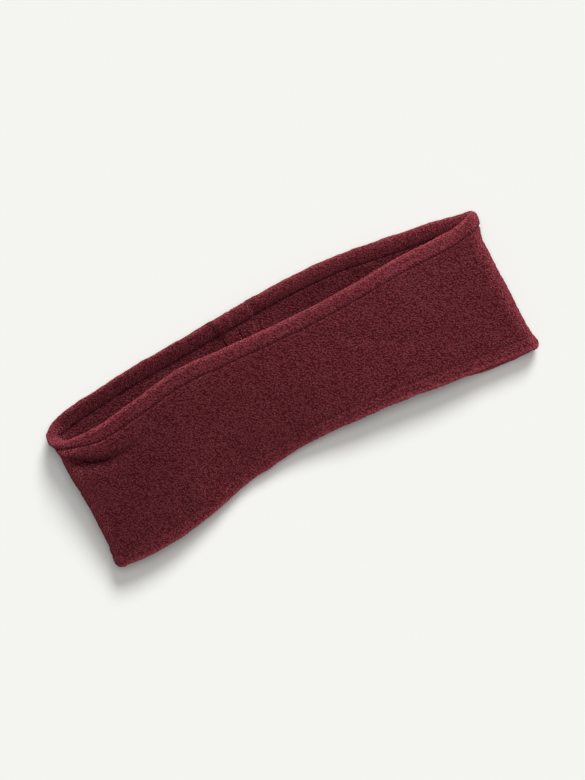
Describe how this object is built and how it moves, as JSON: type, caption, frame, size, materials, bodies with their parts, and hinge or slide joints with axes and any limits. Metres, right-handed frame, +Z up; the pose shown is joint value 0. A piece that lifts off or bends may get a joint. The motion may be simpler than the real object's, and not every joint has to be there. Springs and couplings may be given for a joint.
{
  "type": "ear warmer headband",
  "caption": "Fleece ear warmer headband, wider over the ears, with turned and stitched edges and a centre back seam, lying folded flat with its rim open.",
  "frame": {"origin": "middle of the band's outline, on the surface that it lies on", "axes": "+X from the left fold to the right fold, +Y from the lower edge to the rim, +Z up"},
  "size_m": [0.2566, 0.0984, 0.0288],
  "materials": {
    "fleece": "matt brushed fleece",
    "fleece_inside": "matt brushed fleece"
  },
  "bodies": {
    "root": {"fleece_shell": "fleece", "top_hem": "fleece", "bottom_hem": "fleece", "seam_allowance_left": "fleece_inside", "seam_allowance_right": "fleece_inside"}
  },
  "joints": []
}
